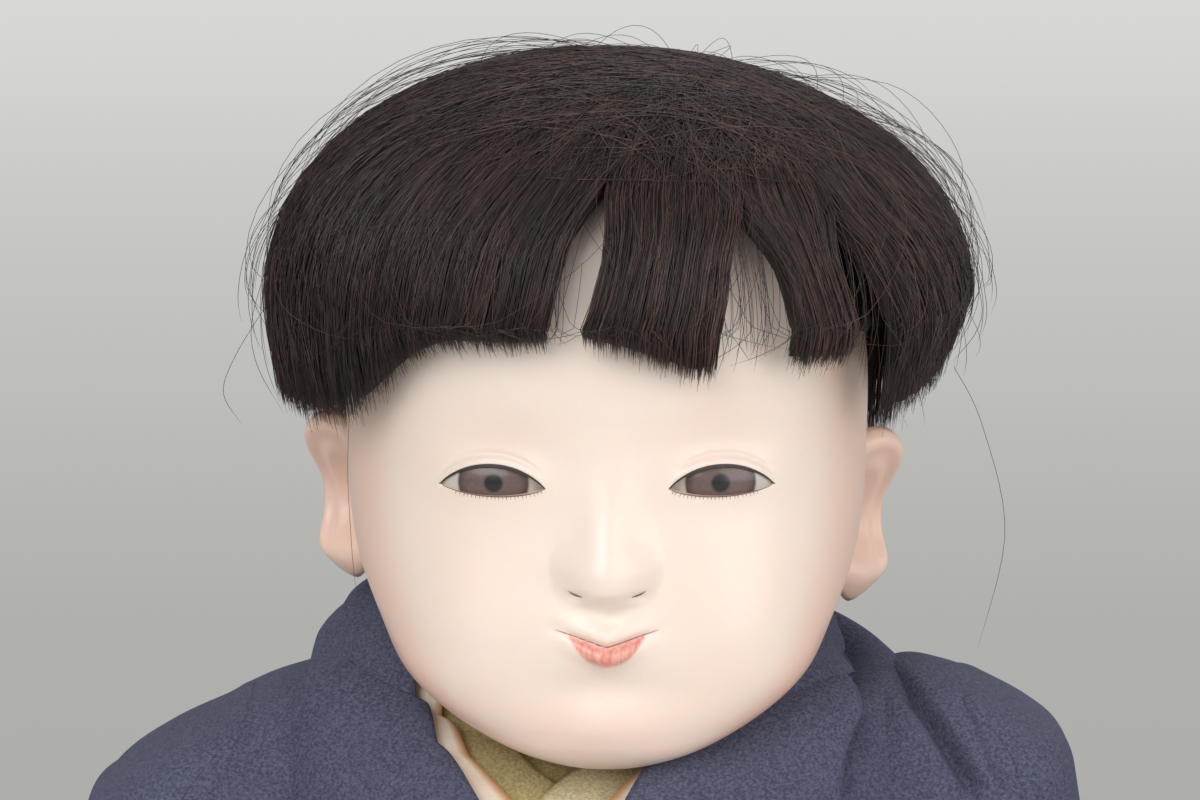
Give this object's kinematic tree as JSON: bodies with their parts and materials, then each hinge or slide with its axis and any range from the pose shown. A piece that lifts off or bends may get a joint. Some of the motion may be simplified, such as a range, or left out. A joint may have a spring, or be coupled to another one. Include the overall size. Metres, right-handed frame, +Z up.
{
  "type": "ichimatsu doll",
  "caption": "Standing ichimatsu doll with a lacquered head, glass eyes, bobbed hair and layered crepe kimono, its head, arms and legs jointed.",
  "frame": {"origin": "on the floor under the middle of the doll", "axes": "+Z up; the face looks along -Y; the doll's left is +X"},
  "size_m": [0.1808, 0.1149, 0.451],
  "materials": {
    "shell_lacquer": "sawdust paste under satin white shell lacquer",
    "eye_glass": "glossy painted glass",
    "hair": "fine straight hair",
    "cap_cloth": "dark cotton",
    "muslin": "stuffed unbleached cotton",
    "thread": "wound waxed thread",
    "navy_crepe": "lined navy silk crepe",
    "cream_silk": "cream silk with a tan edge",
    "green_crepe": "yellow-green silk crepe",
    "sash_cloth": "plain brown woven sash"
  },
  "bodies": {
    "torso": {"shoulder_plate": "shell_lacquer", "waist_cloth": "muslin", "hip_block": "shell_lacquer", "under_kimono": "green_crepe", "kimono_right": "navy_crepe", "overlap_right": "navy_crepe", "kimono_left": "navy_crepe", "overlap_left": "navy_crepe", "sash_band": "sash_cloth", "sash_end_lower": "sash_cloth", "sash_end_upper": "sash_cloth", "sash_knot": "sash_cloth", "under_collar_left": "green_crepe", "cream_collar_left": "cream_silk", "kimono_collar_left": "navy_crepe", "under_collar_right": "green_crepe", "cream_collar_right": "cream_silk", "kimono_collar_right": "navy_crepe"},
    "head": {"face_shell": "shell_lacquer", "skull_back": "shell_lacquer", "neck_plug": "shell_lacquer", "left_eye": "eye_glass", "right_eye": "eye_glass", "wig_cap": "cap_cloth", "hair_crown": "hair", "hair_fringe_right": "hair", "hair_fringe_middle": "hair", "hair_fringe_left": "hair", "hair_left": "hair", "hair_right": "hair", "hair_back": "hair"},
    "left_arm": {"upper_arm_left": "muslin", "sleeve_left": "navy_crepe"},
    "left_forearm": {"forearm_left": "shell_lacquer", "arm_binding_left": "thread"},
    "left_leg": {"thigh_left": "muslin", "lower_leg_left": "shell_lacquer", "leg_binding_left": "thread"},
    "right_arm": {"upper_arm_right": "muslin", "sleeve_right": "navy_crepe"},
    "right_forearm": {"forearm_right": "shell_lacquer", "arm_binding_right": "thread"},
    "right_leg": {"thigh_right": "muslin", "lower_leg_right": "shell_lacquer", "leg_binding_right": "thread"}
  },
  "joints": [
    {"name": "neck_turn", "type": "hinge", "parent": "torso", "child": "head", "pos_m": [0, 0.004, 0.341], "axis": [0, 0, 1], "range_deg": [-18, 18]},
    {"name": "left_shoulder_swing", "type": "hinge", "parent": "torso", "child": "left_arm", "pos_m": [0.05745, 0.002, 0.326], "axis": [-1, 0, 0], "range_deg": [-25, 70]},
    {"name": "left_elbow_bend", "type": "hinge", "parent": "left_arm", "child": "left_forearm", "pos_m": [0.07485, 0.002, 0.268], "axis": [-1, 0, 0], "range_deg": [0, 30]},
    {"name": "left_hip_swing", "type": "hinge", "parent": "torso", "child": "left_leg", "pos_m": [0.021, 0, 0.166], "axis": [-1, 0, 0], "range_deg": [-6, 8]},
    {"name": "right_shoulder_swing", "type": "hinge", "parent": "torso", "child": "right_arm", "pos_m": [-0.05745, 0.002, 0.326], "axis": [-1, 0, 0], "range_deg": [-25, 70]},
    {"name": "right_elbow_bend", "type": "hinge", "parent": "right_arm", "child": "right_forearm", "pos_m": [-0.07485, 0.002, 0.268], "axis": [-1, 0, 0], "range_deg": [0, 30]},
    {"name": "right_hip_swing", "type": "hinge", "parent": "torso", "child": "right_leg", "pos_m": [-0.021, 0, 0.166], "axis": [-1, 0, 0], "range_deg": [-6, 8]}
  ]
}
